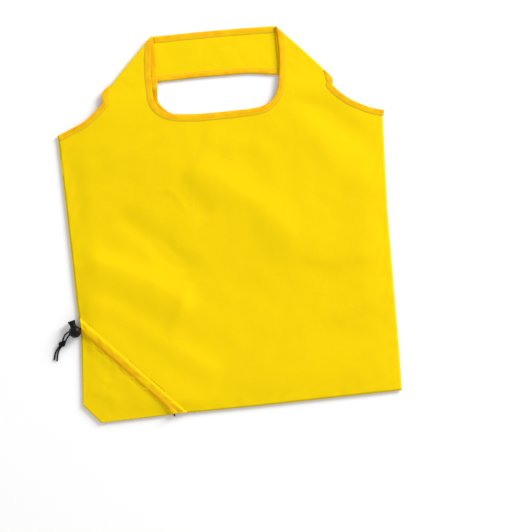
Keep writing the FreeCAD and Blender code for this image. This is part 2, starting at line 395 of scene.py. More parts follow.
def dressAsCloth(tree, shader, place, colour, weave, weaveBump):
    look = clothLook
    slubs = addNoise(tree, place, look["slubs"], 3.0)
    normal = addBump(tree, weave, weaveBump, 0.0002)
    normal = addBump(tree, addNoise(tree, place, look["swells"], 5.0), look["swellBump"], 0.002, normal)
    normal = addBump(tree, slubs, look["slubBump"], 0.0004, normal)
    rough = roughnessAbout(tree, slubs, look["roughness"], look["roughnessReach"])
    finishLook(tree, shader, colour, normal, rough, look["specular"])


# Painted shade down the hem's slope, warm and patchy, and painted shade along its crest
def addHemColours(tree, place, colour):
    across = acrossPiece(tree)
    # painted shade down the slope, in patches as the gathers throw it
    slopeShade = zone(tree, across, hemLook["slopeShadeStart"], hemLook["slopeShadeEnd"])
    patches = spread(tree, addNoise(tree, place, hemLook["patches"]), 0.36, 0.62, 0.5, 1.0)
    colour = mixColours(tree, addMath(tree, "MULTIPLY", slopeShade, patches), colour, hemLook["slopeShade"])
    # painted shade along the crest
    return mixColours(tree, spread(tree, across, *hemLook["crestShadeEnd"]), colour, hemLook["crest"])


# Plain-woven polyester with faint flecks
def makeClothMaterial(name, hem=False):
    material, tree, shader = newMaterial(name)
    place = coordinates(tree)
    flecks = addNoise(tree, place, clothLook["flecks"], 3.0)
    grain = addMath(tree, "ADD", flecks, addNoise(tree, place, clothLook["clouds"], 3.0))
    colour = mixColours(tree, spread(tree, grain, 0.7, 1.4), clothLook["yellow"], clothLook["shade"])
    if hem:
        colour = addHemColours(tree, place, colour)
    weave = weaveHeight(tree, place, clothLook["threads"])
    dressAsCloth(tree, shader, place, colour, weave, clothLook["weaveBump"])
    return material


# Warmer than the cloth, patchy, with painted shade in the sunk line under its stitches
def makeTapeMaterial():
    material, tree, shader = newMaterial("binding_tape")
    place = coordinates(tree)
    across = acrossPiece(tree)
    patches = spread(tree, addNoise(tree, place, tapeLook["patches"], 4.0), 0.35, 0.65)
    colour = mixColours(tree, patches, tapeLook["face"], tapeLook["shade"])
    colour = mixColours(tree, spread(tree, across, *tapeLook["edgeStart"]), colour, tapeLook["edge"])
    # painted shade along the line that the stitches press down
    sunkShade = zone(tree, across, tapeLook["sunkShadeStart"], tapeLook["sunkShadeEnd"])
    colour = mixColours(tree, sunkShade, colour, tapeLook["sunkShade"])
    weave = weaveHeight(tree, coordinates(tree, "UV"), tapeLook["threads"], "MULTIPLY")
    dressAsCloth(tree, shader, place, colour, weave, tapeLook["weaveBump"])
    return material


def makeThreadMaterial():
    material, tree, shader = newMaterial("sewing_thread")
    place = coordinates(tree)
    twist = addNode(tree, "ShaderNodeTexWave", Vector=place, Scale=tapeLook["sewingTwist"])
    twist.bands_direction = "DIAGONAL"
    # the twist runs between the thread's colour and the darker colour of the stitch line's painted shade
    colour = mixColours(tree, twist.outputs["Fac"], tapeLook["sewing"], tapeLook["sunkShade"])
    normal = addBump(tree, twist.outputs["Fac"], tapeLook["sewingBump"], 0.0001)
    finishLook(tree, shader, colour, normal, tapeLook["sewingRoughness"], tapeLook["sewingSpecular"])
    return material


def makeHardMaterial(name, light, dark, grain, roughness, metallic=0.0, sheen=0.0, bump=0.15):
    material, tree, shader = newMaterial(name)
    place = coordinates(tree)
    marks = spread(tree, addNoise(tree, place, hardLook["wear"], 5.0), 0.45, 0.75)
    fine = addNoise(tree, place, grain, 3.0)
    specular = hardLook["metalSpecular"] if metallic else hardLook["specular"]
    rough = roughnessAbout(tree, fine, roughness, hardLook["roughnessReach"])
    colour = mixColours(tree, marks, dark, light)
    finishLook(tree, shader, colour, addBump(tree, fine, bump, 0.0001), rough, specular)
    shader.inputs["Metallic"].default_value = metallic
    shader.inputs["Sheen Weight"].default_value = sheen
    return material


clothMaterial = makeClothMaterial("yellow_polyester")
hemMaterial = makeClothMaterial("hem_polyester", hem=True)
tapeMaterial = makeTapeMaterial()
stitchMaterial = makeThreadMaterial()
lockMaterial = makeHardMaterial(
    "moulded_black_plastic", hardLook["plasticWorn"], hardLook["plastic"], grain=2600.0, roughness=0.38
)
braidMaterial = makeHardMaterial(
    "braided_cord", hardLook["cordLight"], hardLook["cord"], grain=3000.0, roughness=0.75, sheen=0.03,
    bump=0.4,
)
springMaterial = makeHardMaterial(
    "spring_wire", hardLook["steel"], hardLook["steelDark"], grain=4000.0, roughness=0.3, metallic=1.0
)
say("materials")


# Shape helpers. Lengths are in millimetres until a vertex is placed.

def finishMesh(name, mesh, material, body=None, slot=None):
    data = bpy.data.meshes.new(name)
    mesh.to_mesh(data)
    mesh.free()
    piece = addToScene(name, data)
    data.materials.append(material)
    data.shade_smooth()
    if slot:
        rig.slot(piece, slot)
    if body:
        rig.ride(piece, body)
    return piece


# A grid whose point (across, along), each from 0 to 1, goes where place says.
# own gives the UV coordinates of the same point, in metres.
def gridSheet(columns, rows, place, own=None):
    mesh = bmesh.new()
    bmesh.ops.create_grid(mesh, x_segments=columns, y_segments=rows, size=0.5)
    if own:
        layer = mesh.loops.layers.uv.new("UVMap")
        for face in mesh.faces:
            for loop in face.loops:
                loop[layer].uv = own(loop.vert.co.x + 0.5, loop.vert.co.y + 0.5)
    for vert in mesh.verts:
        vert.co = Vector(place(vert.co.x + 0.5, vert.co.y + 0.5)) * mm
    return mesh


def joinMeshes(first, second):
    spare = bpy.data.meshes.new("spare")
    second.to_mesh(spare)
    second.free()
    first.from_mesh(spare)
    bpy.data.meshes.remove(spare)
    return first


def closeUp(mesh, distance=0.00005, capped=False):
    bmesh.ops.remove_doubles(mesh, verts=mesh.verts, dist=distance)
    if capped:
        bmesh.ops.holes_fill(mesh, edges=[e for e in mesh.edges if e.is_boundary], sides=0)
    bmesh.ops.recalc_face_normals(mesh, faces=mesh.faces)
    return mesh


def makeCloth(name, mesh, material, replaced, body=None):
    piece = finishMesh(name + "_cloth", mesh, material, body, "panel_fabric")
    solid = piece.modifiers.new("thickness", "SOLIDIFY")
    solid.thickness = bag["thickness"] * mm
    solid.offset = 0
    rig.replaces(piece, *replaced)
    return piece


# Rises from 0 at low to 1 at high, level at both ends
def smooth(value, low, high):
    t = min(max((value - low) / (high - low), 0.0), 1.0)
    return t * t * (3 - 2 * t)


# Reads a list of (position, value) pairs in straight steps
def readTable(table, position):
    for (a, first), (b, second) in zip(table, table[1:]):
        if position <= b:
            return first + (second - first) * max(position - a, 0) / (b - a)
    return table[-1][1]


def wave(x, y, size, seed):
    return noise.noise(Vector((x / size, y / size, seed)))


# A patchy rise, given as (rise, size, seed)
def uneven(part, x, y):
    rise, size, seed = part
    return rise * wave(x, y, size, seed)


# A rise between two places, given as (rise, from, to)
def climb(part, value):
    rise, start, end = part
    return rise * smooth(value, start, end)


# Waves along a line, given as (rise, length)
def ripples(part, along, shift):
    rise, length = part
    return rise * sin(2 * pi * along / length + shift)


# The share of the way from a to b that lies nearest to a point, and the gap between them
def nearest(a, b, x, y):
    dx, dy = b[0] - a[0], b[1] - a[1]
    t = min(max(((x - a[0]) * dx + (y - a[1]) * dy) / max(dx * dx + dy * dy, 1e-9), 0), 1)
    return t, hypot(x - a[0] - t * dx, y - a[1] - t * dy)


# Closes a section by mirroring its face downwards
def mirrored(face):
    return face + [(n, -z) for n, z in face[-2::-1]]


# A line of points read by the share of its length, from 0 to 1
class Route:

    def __init__(self, points):
        self.points = [Vector(p).to_3d() for p in points]
        self.marks = [0.0]
        for a, b in zip(self.points, self.points[1:]):
            self.marks.append(self.marks[-1] + (b - a).length)
        self.length = self.marks[-1]

    def at(self, share):
        want = min(max(share, 0.0), 1.0) * self.length
        i = min(max(bisect.bisect_left(self.marks, want) - 1, 0), len(self.marks) - 2)
        span = max(self.marks[i + 1] - self.marks[i], 1e-12)
        return self.points[i].lerp(self.points[i + 1], (want - self.marks[i]) / span)

    def way(self, share, reach=0.8):
        step = reach / self.length
        return (self.at(share + step) - self.at(share - step)).normalized()

    def left(self, share):
        way = self.way(share)
        return Vector((-way.y, way.x, 0)).normalized()


# A smooth line through the given points, as evenly spaced points
def softLine(points, count):
    spots = [Vector(p) for p in points]
    spots = [2 * spots[0] - spots[1]] + spots + [2 * spots[-1] - spots[-2]]
    steps = 12  # between two given points
    line = []
    for a, b, c, d in zip(spots, spots[1:], spots[2:], spots[3:]):
        for i in range(steps):
            t = i / steps
            line.append(0.5 * (2 * b + (c - a) * t + (2 * a - 5 * b + 4 * c - d) * t * t
                               + (3 * b - a - 3 * c + d) * t * t * t))
    line.append(spots[-2])
    route = Route(line)
    return [tuple(route.at(i / count).to_2d()) for i in range(count + 1)]


def straight(a, b, count):
    shares = [i / count for i in range(count + 1)]
    return [(a[0] + (b[0] - a[0]) * t, a[1] + (b[1] - a[1]) * t) for t in shares]


# One line of points from several that meet end to end
def chain(*runs):
    points = list(runs[0])
    for run in runs[1:]:
        points += run[1:]
    return points


# Outline of the bag

bag = dict(
    leftArmhole=[(-210, 127), (-192.1, 134.7), (-176.8, 141.5), (-161, 152.9), (-148.5, 165.5)],
    rightArmhole=[
        (146, 165.5), (154, 155.5), (166, 145.4), (181, 136.8), (195, 130.6), (208, 127),
    ],
    leftEdge=[
        (-183.9, -245), (-205.4, -220.7), (-200.5, -136), (-202.6, -91), (-206, 16),
        (-210, 127),
    ],
    rightEdge=[(203.9, -234), (204.6, -183), (204, 0), (208, 127)],
    bottomEdge=[(-183.9, -245), (-89, -241.4), (32.6, -239), (203.9, -234)],
    hinge=165.5,  # the level where the handles fold over
    ridge=((-202, -108.4), (-73, -241.2)),  # top edge of the drawcord channel
    channelFoot=((-200.9, -131.4), (-93, -241.7)),
    seamHeight=2.8,
    thickness=0.28,
)

# The two layers of the bag: the hand hole, the arms' inner sides, and how high each part lies
layers = {
    "front": dict(
        hole=[(-84.3, 165.5), (-82.8, 159.5), (-79, 152.8), (-73, 147.2), (-65, 143.2), (-55, 141),
              (-40, 139.6), (-26, 138.9), (0, 139.2), (30, 140.2), (47, 141.3), (56, 143),
              (62.5, 146.3), (68, 150.9), (73, 157.3), (76.7, 165.5)],
        leftArm=[(165.5, -84.3), (180, -85), (197, -85), (214, -84), (232, -81.8), (246, -79.6)],
        rightArm=[
            (165.5, 76.7), (176, 78.7), (187, 80), (202, 81.5), (216, 82), (232, 81.4), (246, 80.2),
        ],
        hingeHeight=6.6, armHeight=6.2, bandHeight=1.1, inset=0.0,
    ),
    "back": dict(
        hole=[(-78.8, 165.5), (-78.9, 162.3), (-77.4, 158.6), (-74.6, 154.8), (-71, 150.4), (-67, 146.7),
              (-62.5, 144.1), (-56, 142.6), (-40, 141.3), (-26, 140.6), (0, 140.8), (30, 141.6),
              (48, 142.8), (60, 146), (68, 150.5), (74, 156.3), (78.8, 161.6), (80.4, 165.5)],
        leftArm=[(165.5, -78.8), (180, -77.6), (197, -77), (214, -77.2), (232, -77.8), (246, -78.2)],
        rightArm=[(165.5, 80.4), (187, 80.4), (202, 79.6), (216, 79), (232, 79), (246, 79.4)],
        hingeHeight=0.85, armHeight=4.5, bandHeight=2.75, inset=0.7,
    ),
}
armColumns = 20


# The body's upper edge from shoulder to shoulder, round the hand hole
def topLine(layer):
    left, right = softLine(bag["leftArmhole"], 26), softLine(bag["rightArmhole"], 26)
    hole = softLine(layer["hole"], 60)
    leftArm = straight(left[-1], hole[0], armColumns)
    rightArm = straight(hole[-1], right[0], armColumns)
    return chain(left, leftArm, hole, rightArm, right)


# How far a point is from the sewn side and bottom edges
def edgeDistance(x, y):
    edges = (bag["leftEdge"], bag["rightEdge"], bag["bottomEdge"])
    return min(nearest(a, b, x, y)[1] for line in edges for a, b in zip(line, line[1:]))


# Soft folds of the front: a line, its rise, and its width on the lit and the shaded side
frontFolds = [
    ([(-52, 74), (-42, 66), (-10, 55), (20, 32), (45, 14), (60, -5), (75, -27), (92, -54)], 2.5, 20, 27),
    ([(80, -46), (120, -57), (150, -58), (180, -52), (212, -38)], 1.5, 34, 13),
    ([(97, 178), (112, 152), (132, 130), (152, 110), (177, 90), (216, 62)], -1.5, 17, 15),
    ([(92, 142), (112, 110), (128, 84), (152, 60), (180, 38), (216, 14)], 1.0, 17, 24),
    ([(-212, -28), (-165, -45), (-135, -58), (-105, -74), (-72, -98), (-58, -130)], 2.9, 16, 31),
    ([(-208, -78), (-150, -107), (-100, -147), (-50, -182), (-20, -200)], 1.5, 13, 17),
    ([(-160, 84), (-110, 101), (-60, 125)], 0.6, 7, 9),
    ([(-150, 26), (-115, -2), (-80, -36), (-48, -66)], -1.7, 15, 14),
    ([(-77, 52), (-65, 39), (-50, 12)], 0.35, 3.2, 5),
    ([(-104, 46), (-86, 47), (-68, 44)], 0.2, 3, 4),
    ([(-62, 62), (-40, 30), (-22, 2)], -1.0, 12, 14),
    ([(118, -136), (165, -118), (210, -98)], 0.9, 11, 14),
    ([(-214, 100), (-196, 78), (-190, 40), (-196, 4)], -0.9, 9, 9),
    ([(-60, -70), (-66, -100), (-92, -150)], 0.9, 9, 8),
    ([(-30, 110), (10, 98), (60, 100)], 0.5, 16, 16),
]
pouchFolds = [
    ([(-206, -204), (-188, -205), (-170, -212), (-158, -224)], 1.5, 9, 6),
    ([(-176, -232), (-157, -206), (-138, -194)], 0.9, 8, 9),
    ([(-204, -148), (-186, -160), (-170, -182), (-164, -196)], -1.2, 10, 9),
    ([(-190, -160), (-178, -176), (-176, -200)], 0.5, 7, 7),
]
# Small pillows of cloth that the gathered channel throws up below it: middle, reach, rise
pouchPillows = [
    ((-189, -147), 6.5, 1.7), ((-172, -165), 4.5, 1.1), ((-160, -175), 4.5, 1.1), ((-142, -193), 5, 1.2),
    ((-127, -207), 4.5, 0.8), ((-112, -223), 4.5, 0.8), ((-181, -158), 4, 0.6), ((-150, -184), 4, 0.6),
]
foldFade = 0.18  # the share of a fold's length over which it rises, and over which it fades


def ridgeDistance(x, y):
    (ax, ay), (bx, by) = bag["ridge"]
    return abs((bx - ax) * (y - ay) - (by - ay) * (x - ax)) / hypot(bx - ax, by - ay)


# The rise of all the folds at a point; each fades out towards both its ends
def foldRise(folds, x, y):
    total = 0.0
    for line, rise, lit, shaded in folds:
        spots = [(*nearest(a, b, x, y), i, a, b) for i, (a, b) in enumerate(zip(line, line[1:]))]
        t, gap, i, a, b = min(spots, key=lambda spot: spot[1])
        share = (i + t) / (len(line) - 1)
        width = lit if (b[0] - a[0]) * (y - a[1]) > (b[1] - a[1]) * (x - a[0]) else shaded
        if gap < 3 * width:
            fade = smooth(share, 0, foldFade) * smooth(1 - share, 0, foldFade)
            total += rise * fade * exp(-((gap / width) ** 2))
    return total


# How the front lies: rises above the seams, from the sewn edges inward or up the bag
frontLie = dict(
    aboveSeam=0.4,
    pillow=(1.1, -8.0, 36.0),
    shoulders=(1.5, -80.0, 140.0),
    byChannel=(2.0, 52.0, 0.0),
    ripple=0.28,
    rippleLength=5.2,
    small=(0.30, 24, 5.0),
    broad=(0.55, 60, 9.0),
    foldShare=0.9,
    foldsAtEdge=0.25,  # share of a fold that is left at the sewn edges
    calm=(1, 140.0, 164.0),  # folds and ripples die away up to the hinge
    least=0.25,
)
# How the back lies, flat on the floor inside its edges
backLie = dict(
    low=(0.15, 130.0, 160.0),
    belowSeam=0.4,
    edgeReach=(-3.0, 24.0),
)


def frontHeight(x, y):
    lie = frontLie
    near = edgeDistance(x, y)
    rise = climb(lie["pillow"], near)
    level = bag["seamHeight"] + lie["aboveSeam"] + rise
    level += climb(lie["shoulders"], y) * smooth(near, 0.0, 80.0)
    ripple = lie["ripple"] * sin((x - y) / lie["rippleLength"] + 4 * wave(x, y, 34, 1.0))
    ripple *= smooth(near, 0, 4) * (1 - smooth(near, 5, 20))
    folds = foldRise(frontFolds, x, y) * lie["foldShare"]
    folds += uneven(lie["small"], x, y) + uneven(lie["broad"], x, y)
    folds *= lie["foldsAtEdge"] + (1 - lie["foldsAtEdge"]) * rise / lie["pillow"][0]
    shape = level + (folds + ripple) * (1 - climb(lie["calm"], y))
    shape += climb(lie["byChannel"], ridgeDistance(x, y)) * smooth(near, 0.0, 18.0)
    toHinge = smooth(y, 126.0, 164.0) * smooth(near, 8.0, 40.0)
    shape += (layers["front"]["hingeHeight"] - shape) * toHinge
    return max(shape, bag["seamHeight"] + lie["least"])


def backHeight(x, y):
    low = layers["back"]["hingeHeight"] - backLie["low"][0] + climb(backLie["low"], y)
    toEdge = 1 - smooth(edgeDistance(x, y), *backLie["edgeReach"])
    return low + (bag["seamHeight"] - backLie["belowSeam"] - low) * toEdge


# Fills in between four edges: bottom and top run one way, left and right the other
def patch(bottom, right, top, left):
    lowLeft, lowRight, topLeft, topRight = left.at(0), right.at(0), left.at(1), right.at(1)

    def place(u, v, topSpot=None):
        spot = (1 - v) * bottom.at(u) + v * (topSpot or top.at(u))
        spot += (1 - u) * left.at(v) + u * right.at(v)
        spot -= (1 - u) * ((1 - v) * lowLeft + v * topLeft)
        spot -= u * ((1 - v) * lowRight + v * topRight)
        return spot

    return place


def bodySheet(layer, height, rows=136):
    points = [Vector(p).to_3d() for p in topLine(layer)]
    last = len(points) - 1
    width = points[-1].x - points[0].x
    bottom, right, left = (Route(bag[edge]) for edge in ("bottomEdge", "rightEdge", "leftEdge"))
    fill = patch(bottom, right, Route(points), left)

    def place(across, along):
        i = round(across * last)
        u = 0.5 * i / last + 0.5 * (points[i].x - points[0].x) / width
        spot = fill(u, along, points[i])
        return (spot.x, spot.y, height(spot.x, spot.y))

    return gridSheet(last, rows, place)


# Cuts a sheet along a line across the bag and keeps the part away from the pouch
def keepAbove(mesh, line):
    (ax, ay), (bx, by) = line
    bmesh.ops.bisect_plane(
        mesh,
        geom=mesh.verts[:] + mesh.edges[:] + mesh.faces[:],
        plane_co=Vector((ax, ay, 0)) * mm,
        plane_no=Vector((ay - by, bx - ax, 0)).normalized(),
        clear_inner=True,
        dist=1e-6,
    )


# Handles: arms that rise from the body, a fold at 45 degrees, and a band behind them

strap = dict(
    foot=185.0,  # level of the lower end of the fold
    top=244.3,
    foldFoot=137.0,
    foldTop=80.0,
    rampLength=15.0,
    bulge=0.45,  # how far the fold rounds out
    outerLeft=[
        (165.5, 148.5), (169, 148), (173, 147), (178, 144.6), (182, 140.6), (185, 136.55),
    ],
    outerRight=[(165.5, 146), (170, 145.6), (175, 143.2), (180, 139.6), (185, 136.55)],
    nestled=1.4,  # how far the outer edge moves in for each millimetre of the layer's inset
    sway=0.8,  # how far the fold bows out half-way up
    armUneven=((0.25, 22, 4), (0.25, 9, 4.6)),
    bandUneven=((0.30, 40, 6), (0.18, 12, 2.6)),
    bandColumns=72,
    rows=26,
    bend=20,  # the cloth turns over this length when the handles fold
)

# The band's edges aren't quite straight: the lower one dips to the right, the top one bows up
bandBow = dict(
    low=2.4,
    leftFall=(1.6, 10, 80),
    rightFall=(4.8, 34, 84),
    top=1.2,
    topLength=55.0,
)


# Where the fold's outer edge runs at a level, on the left (-1) or the right (1)
def foldX(layer, side, y):
    share = (y - strap["foot"]) / (strap["top"] - strap["foot"])
    straightX = strap["foldFoot"] + (strap["foldTop"] - strap["foldFoot"]) * share
    return side * (straightX - layer["inset"] * strap["nestled"] + sin(pi * share) * strap["sway"])


def innerX(layer, side, y):
    return readTable(layer["leftArm"] if side < 0 else layer["rightArm"], y)


# The outer edge of the arm's cloth, from the notch to the foot of the fold, under its tape
def outerX(layer, side, y):
    tuck = layer["inset"] * strap["nestled"] * smooth(y, bag["hinge"], strap["foot"])
    return side * (readTable(strap["outerLeft"] if side < 0 else strap["outerRight"], y) - tuck)


def armSurface(layer, x, y):
    hinge = bag["hinge"]
    fall = smooth(y, hinge, hinge + strap["rampLength"])
    level = layer["hingeHeight"] + (layer["armHeight"] - layer["hingeHeight"]) * fall
    bumps = sum(uneven(part, x, y) for part in strap["armUneven"])
    return level + bumps * smooth(y, hinge + 8, hinge + 22)


def bandSurface(layer, x, y):
    bumps = sum(uneven(part, x, y) for part in strap["bandUneven"])
    return layer["bandHeight"] + bumps * smooth(abs(x), 90, 60)


def bandLevel(x, y):
    low = 1 - smooth(y, 188.0, 232.0)
    high = smooth(y, 214.0, strap["top"])
    middle = smooth(abs(x), 132.0, 84.0)
    lowBow = bandBow["low"] - climb(bandBow["leftFall"], -x) - climb(bandBow["rightFall"], x)
    topBow = bandBow["top"] * cos(x / bandBow["topLength"] - 0.5)
    return y + middle * (low * lowBow + high * topBow)


# The part of an arm below its fold
def armPart(layer, side):
    hinge, foot = bag["hinge"], strap["foot"]

    def place(across, along):
        y = hinge + (foot - hinge) * along
        outer, inner = outerX(layer, side, y), innerX(layer, side, y)
        left, right = (outer, inner) if side < 0 else (inner, outer)
        x = left + (right - left) * across
        return (x, y, armSurface(layer, x, y))

    return gridSheet(armColumns, 8, place)


# Above the foot of the fold: arm, roll, band, roll and arm again, as one turn of cloth
def wrapPart(layer):
    foot, top = strap["foot"], strap["top"] - layer["inset"]
    rollSteps, bandSteps = 10, strap["bandColumns"]
    total = 2 * armColumns + 2 * rollSteps + bandSteps
    bulge = strap["bulge"]

    def place(across, along):
        i = round(across * total)
        y = foot + (top - foot) * along
        side = 1 if i > total // 2 else -1
        i = total - i if side > 0 else i
        fold = foldX(layer, side, y) - side * bulge
        if i <= armColumns:
            start = side * min(abs(innerX(layer, side, y)), abs(fold) - 0.5)
            x = start + (fold - start) * i / armColumns
            return (x, y, armSurface(layer, x, y))
        upper, lower = armSurface(layer, fold, y), bandSurface(layer, fold, y)
        if i <= armColumns + rollSteps:
            turn = pi * (i - armColumns) / rollSteps
            x = fold + side * bulge * sin(turn)
            lift = 0.7 * bulge * sin(turn) * (0.3 + 0.7 * along)
            return (x, y + lift, (upper + lower) / 2 + (upper - lower) / 2 * cos(turn))
        x = fold * (1 - (i - armColumns - rollSteps) / (bandSteps / 2))
        return (x, bandLevel(x, y), bandSurface(layer, x, y))

    return gridSheet(total, strap["rows"], place)


def hingeBlend(piece, name):
    start, end = bag["hinge"] * mm, (bag["hinge"] + strap["bend"]) * mm
    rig.blend(piece, "bag", name + "_handle", start=(0, start, 0), end=(0, end, 0))


def makeLayer(name, height):
    layer = layers[name]
    mesh = bodySheet(layer, height)
    keepAbove(mesh, bag["ridge"])
    for side in (-1, 1):
        joinMeshes(mesh, armPart(layer, side))
    joinMeshes(mesh, wrapPart(layer))
    closeUp(mesh, 0.00015)
    replaced = [name + part for part in ("_panel", "_left_arm", "_right_arm", "_handle_band")]
    piece = makeCloth(name, mesh, clothMaterial, replaced)
    hingeBlend(piece, name)
    return piece


frontCloth = makeLayer("front", frontHeight)
backCloth = makeLayer("back", backHeight)
say("front and back cloth with the handles")


# Binding tape, folded over the cut edges, and its stitching

tape = dict(
    width=8.0,
    lowerWidth=7.2,  # along the band's lower edge
    half=0.58,  # half its thickness in the middle of the face
    ringLength=2.2,
    ripple=0.28,  # share of its thickness that swells and shrinks
    lean=0.16,  # how far it rises and falls as a whole
    taper=0.7,  # share of its width that a tapered end loses
    stitchAt=7.1,  # from the folded edge
    stitchLength=1.9,
    stitchPitch=2.5,
    stitchLift=0.36,  # from the middle of the tape
    thread=0.24,
    threadFlat=0.8,
)


# A flattened loop round the cloth's edge: (in from the edge, height)
def tapeLoop(width):
    half = tape["half"]
    face = [
        (width, 0.0), (width - 0.05, 0.30), (width - 0.5, 0.36), (width - 0.9, 0.27), (width - 1.4, 0.40),
        (width * 0.68, half * 0.98), (width * 0.48, half * 1.08), (width * 0.26, half * 1.05),
        (0.9, half * 0.92), (0.35, half * 0.66), (0.08, half * 0.3), (0, 0),
    ]
    return mirrored(face)


# A row of short stitches on both faces; spotAt says where the edge and the seam are at a share
def makeStitches(name, route, spotAt, heightAt, inward):
    stitches = bmesh.new()
    count = int(route.length / tape["stitchPitch"])
    size = Matrix.Diagonal((
        tape["stitchLength"] / 2 * mm, tape["thread"] * mm, tape["thread"] * tape["threadFlat"] * mm, 1,
    ))
    for i in range(count):
        share = (i + 0.5) / count
        edge, spot = spotAt(share, inward)
        way = route.way(share)
        turn = Matrix.Rotation(atan2(way.y, way.x), 4, "Z")
        for lift in (tape["stitchLift"], -tape["stitchLift"]):
            where = Vector((spot.x, spot.y, heightAt(spot, edge) + lift)) * mm
            matrix = Matrix.Translation(where) @ turn @ size
            bmesh.ops.create_uvsphere(stitches, u_segments=6, v_segments=5, radius=1, matrix=matrix)
    return finishMesh(name + "_stitches", stitches, stitchMaterial, slot="binding_tape")


# Tape along an edge, with its stitches. side is 1 where the cloth lies to the left of the way
# along it. It narrows over the last tapered millimetres, and fold gives the x it mayn't pass at a
# level. It bends with a handle or rides on a body.
def makeTape(
    name, points, surface, side, replaced, body=None, handle=None, width=tape["width"], tapered=0.0, fold=None
):
    route = Route(points)
    loop = tapeLoop(width)
    last = len(loop) - 1
    rings = max(8, round(route.length / tape["ringLength"]))
    seed = len(bpy.data.objects) * 0.37  # another seed for each tape

    def spotAt(along, n):
        edge = route.at(along)
        way = route.way(along, 4.0)
        if tapered:
            n *= 1 - tape["taper"] * smooth((1 - along) * route.length, tapered, 0.0)
        spot = edge + Vector((-way.y, way.x, 0)).normalized() * side * n
        if fold:
            limit = abs(fold(spot.y))
            spot.x = min(max(spot.x, -limit), limit)
        return edge, spot

    def heightAt(spot, edge):
        return surface(spot.x, spot.y) + tape["lean"] * wave(edge.x, edge.y, 13.0, seed + 3)

    def place(across, along):
        n, z = loop[round(across * last)]
        edge, spot = spotAt(along, n)
        ripple = 1 + tape["ripple"] * wave(edge.x, edge.y, 6.0, seed) * smooth(n, 0, 3)
        return (spot.x, spot.y, heightAt(spot, edge) + z * ripple)

    def own(across, along):
        return (route.length * along * mm, loop[round(across * last)][0] / width * tape["width"] * mm)

    mesh = closeUp(gridSheet(last, rings, place, own), capped=True)
    piece = finishMesh(name, mesh, tapeMaterial, slot="binding_tape")
    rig.replaces(piece, *replaced)
    thread = makeStitches(name, route, spotAt, heightAt, width - (tape["width"] - tape["stitchAt"]))
    for part in (piece, thread):
        if handle:
            hingeBlend(part, handle)
        else:
            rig.ride(part, body)


# Along the armhole, over the notch, and up round the end of the strap's outer edge
def armholeLine(name, side):
    shift = layers[name]["inset"]
    if side < 0:
        points = [(-211.3, 126.5)] + bag["leftArmhole"][:-1]
        points += [
            (-151.5, 162), (-148.9, 165.6), (-149.8, 169), (-149.8, 173.2), (-147.9, 178.2),
            (-143.9, 182.4), (-138.6, 185.8),
        ]
    else:
        points = [(210.2, 126.9), (208.0, 127.1)] + bag["rightArmhole"][-2:0:-1]
        points += [
            (148.6, 161.6), (145.4, 164.4), (147.3, 166.8), (147.7, 170.4), (145.8, 175.2), (141.8, 179.8),
            (137.6, 184.2),
        ]
    return softLine([(x - copysign(shift, x) * smooth(y, 160, 175), y) for x, y in points], 90)


# The band's top or lower edge, from behind one arm to behind the other
def bandLine(layer, atTop):
    y = strap["top"] - layer["inset"] + 0.3 if atTop else strap["foot"] - 0.2 + layer["inset"]
    reach = 1.0 if atTop else 9.0
    left, right = foldX(layer, -1, y) + reach, foldX(layer, 1, y) - reach
    return [(x, bandLevel(x, y)) for x, y in straight((left, y), (right, y), 60)]


def makeBindings(name, height):
    layer = layers[name]
    handle = name + "_handle"
    foot = strap["foot"]
    ends = strap["top"] - layer["inset"] + 0.2

    def surface(x, y):
        low = height(x, y) if y < bag["hinge"] else armSurface(layer, x, y)
        return max(low, layer["hingeHeight"]) if name == "back" else low

    def bandHeight(x, y):
        return bandSurface(layer, x, y)

    def foldLimit(y):
        return foldX(layer, 1, y) + 0.5 if y > foot else inf

    levels = (ends, 240, 237, 230, 222, 214, 206, 197, 188, 180, 172)
    left = [(innerX(layer, -1, y), y) for y in levels]
    right = [(innerX(layer, 1, y), y) for y in reversed(levels)]
    around = softLine(left + layer["hole"] + right, 220)
    replaced = [name + "_hand_hole_binding", name + "_left_arm_binding", name + "_right_arm_binding"]
    makeTape(name + "_hand_hole_tape", around, surface, -1, replaced, handle=name, fold=foldLimit)
    for word, side in (("left", -1), ("right", 1)):
        start = name + "_" + word
        replaced = [start + "_armhole_binding"]
        line = armholeLine(name, side)
        makeTape(start + "_armhole_tape", line, surface, side, replaced, handle=name, tapered=11.0)
    for word, side, width in (("upper", -1, tape["width"]), ("lower", 1, tape["lowerWidth"])):
        start = name + "_band_" + word
        line = bandLine(layer, word == "upper")
        makeTape(start + "_tape", line, bandHeight, side, [start + "_binding"], body=handle, width=width)


makeBindings("front", frontHeight)
makeBindings("back", backHeight)
say("binding tape and stitches")


# Where the drawcord runs: out of the side by both ends, through the channels and round the lower edge

drawcord = dict(
    diameter=2.0,
    strands=8,
    lay=7.5,  # length of one turn of a strand
    relief=0.11,
    cutEnd=0.5,  # the last bit, drawn together where it was cut
)

